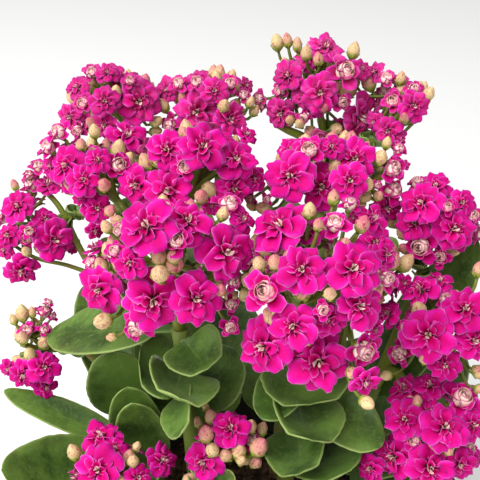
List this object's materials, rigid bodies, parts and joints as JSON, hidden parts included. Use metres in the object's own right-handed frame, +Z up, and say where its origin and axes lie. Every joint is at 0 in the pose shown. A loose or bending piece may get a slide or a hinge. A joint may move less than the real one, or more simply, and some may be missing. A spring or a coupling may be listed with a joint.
{
  "type": "potted flaming katy",
  "caption": "Flaming katy in a plain round nursery pot: double rose-like magenta blooms and buds in dense heads on green stalks over thick scalloped leaves.",
  "frame": {"origin": "middle of the pot's foot, on the surface that it stands on", "axes": "+Z up along the pot's axis, -Y towards the viewer of the front, +X to the viewer's right"},
  "size_m": [0.2049, 0.2253, 0.2718],
  "materials": {
    "pot_plastic": "satin",
    "potting_soil": "matte",
    "foliage": "satin",
    "petals": "matte"
  },
  "bodies": {
    "root": {"pot": "pot_plastic", "soil": "potting_soil", "shoot_left": "foliage", "shoot_right": "foliage", "shoot_back_left": "foliage", "shoot_back_right": "foliage", "shoot_far_right": "foliage", "shoot_far_left": "foliage", "shoot_front": "foliage", "head_front_right": "petals", "head_front_left": "petals", "head_upper_left": "petals", "head_left": "petals", "head_back_left": "petals", "head_back_middle": "petals", "head_middle_right": "petals", "head_back_right": "petals", "head_far_right": "petals", "head_right_top": "petals", "head_right_middle": "petals", "head_low_right": "petals", "head_low_left": "petals", "head_low_middle": "petals", "head_low_far_left": "petals", "head_far_left": "petals", "head_inner_middle": "petals", "head_inner_right": "petals", "head_inner_left": "petals", "head_rear_left": "petals", "head_rear_right": "petals"}
  },
  "joints": []
}
